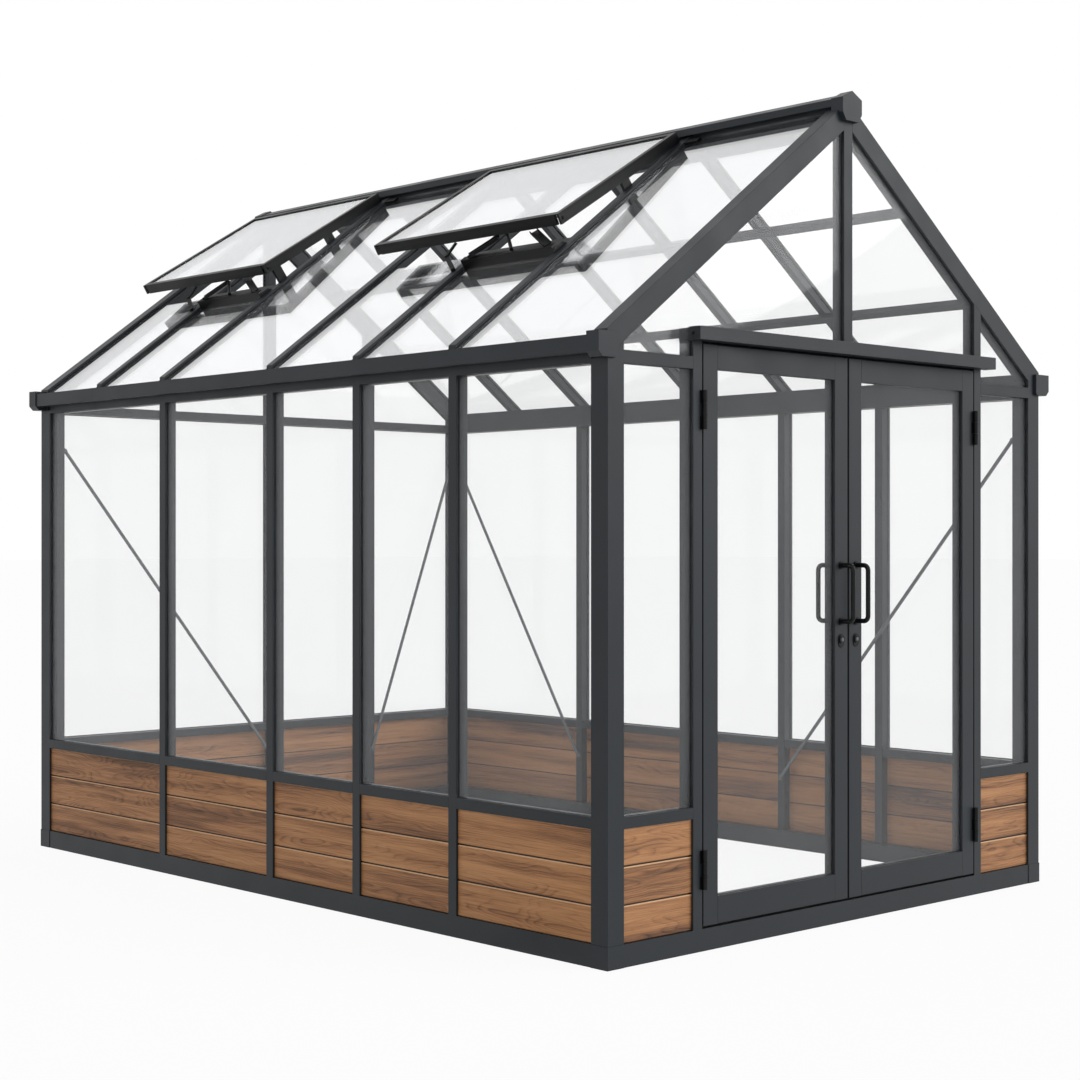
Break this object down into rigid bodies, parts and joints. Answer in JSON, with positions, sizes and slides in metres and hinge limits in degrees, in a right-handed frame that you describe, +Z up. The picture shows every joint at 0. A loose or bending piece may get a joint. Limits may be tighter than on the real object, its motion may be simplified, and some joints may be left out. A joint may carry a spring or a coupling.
{
  "type": "glass greenhouse",
  "caption": "Gabled glass greenhouse on a low boarded plinth, with double glazed doors, gutters and propped roof vents.",
  "frame": {"origin": "on the ground at the middle of the plan", "axes": "+Z up, +Y along the house away from the doors, +X across the gable"},
  "size_m": [2.4, 3.438, 2.796],
  "materials": {
    "frame": "satin anthracite powder coat",
    "black_metal": "satin black powder coat",
    "rods": "dull galvanised",
    "glass": "clear float glass",
    "boards": "oiled hardwood"
  },
  "bodies": {
    "house": {"back_studs": "frame", "base_corner_blocks": "frame", "base_rails": "frame", "corner_posts": "frame", "door_canopy": "frame", "door_jambs": "frame", "door_lintel": "frame", "eave_rails": "frame", "end_boards": "boards", "end_glass": "glass", "end_sills": "frame", "front_gable_stud": "frame", "front_king_post": "frame", "gable_glass": "glass", "gutter_end_caps": "frame", "gutters": "frame", "jamb_hinges": "black_metal", "rafters": "frame", "ridge_beam": "frame", "ridge_end_caps": "frame", "roof_bars_left": "frame", "roof_bars_right": "frame", "roof_glass_left": "glass", "roof_glass_right": "glass", "roof_purlins": "frame", "side_bars": "frame", "side_boards": "boards", "side_glass": "glass", "side_sills": "frame", "vent_glass": "glass", "vent_openers": "black_metal", "vent_sashes": "black_metal", "vent_sills": "black_metal", "wall_braces": "rods", "wall_plates": "frame"},
    "left_door": {"left_door_glass": "glass", "left_door_handles": "black_metal", "left_door_hinges": "black_metal", "left_door_rails": "frame", "left_door_stiles": "frame"},
    "right_door": {"right_door_glass": "glass", "right_door_handles": "black_metal", "right_door_hinges": "black_metal", "right_door_rails": "frame", "right_door_stiles": "frame"}
  },
  "joints": [
    {"name": "left_door_hinge", "type": "hinge", "parent": "house", "child": "left_door", "pos_m": [-0.7285, -1.689, 1], "axis": [0, 0, -1], "range_deg": [0, 105]},
    {"name": "right_door_hinge", "type": "hinge", "parent": "house", "child": "right_door", "pos_m": [0.7285, -1.689, 1], "axis": [0, 0, 1], "range_deg": [0, 105]}
  ]
}
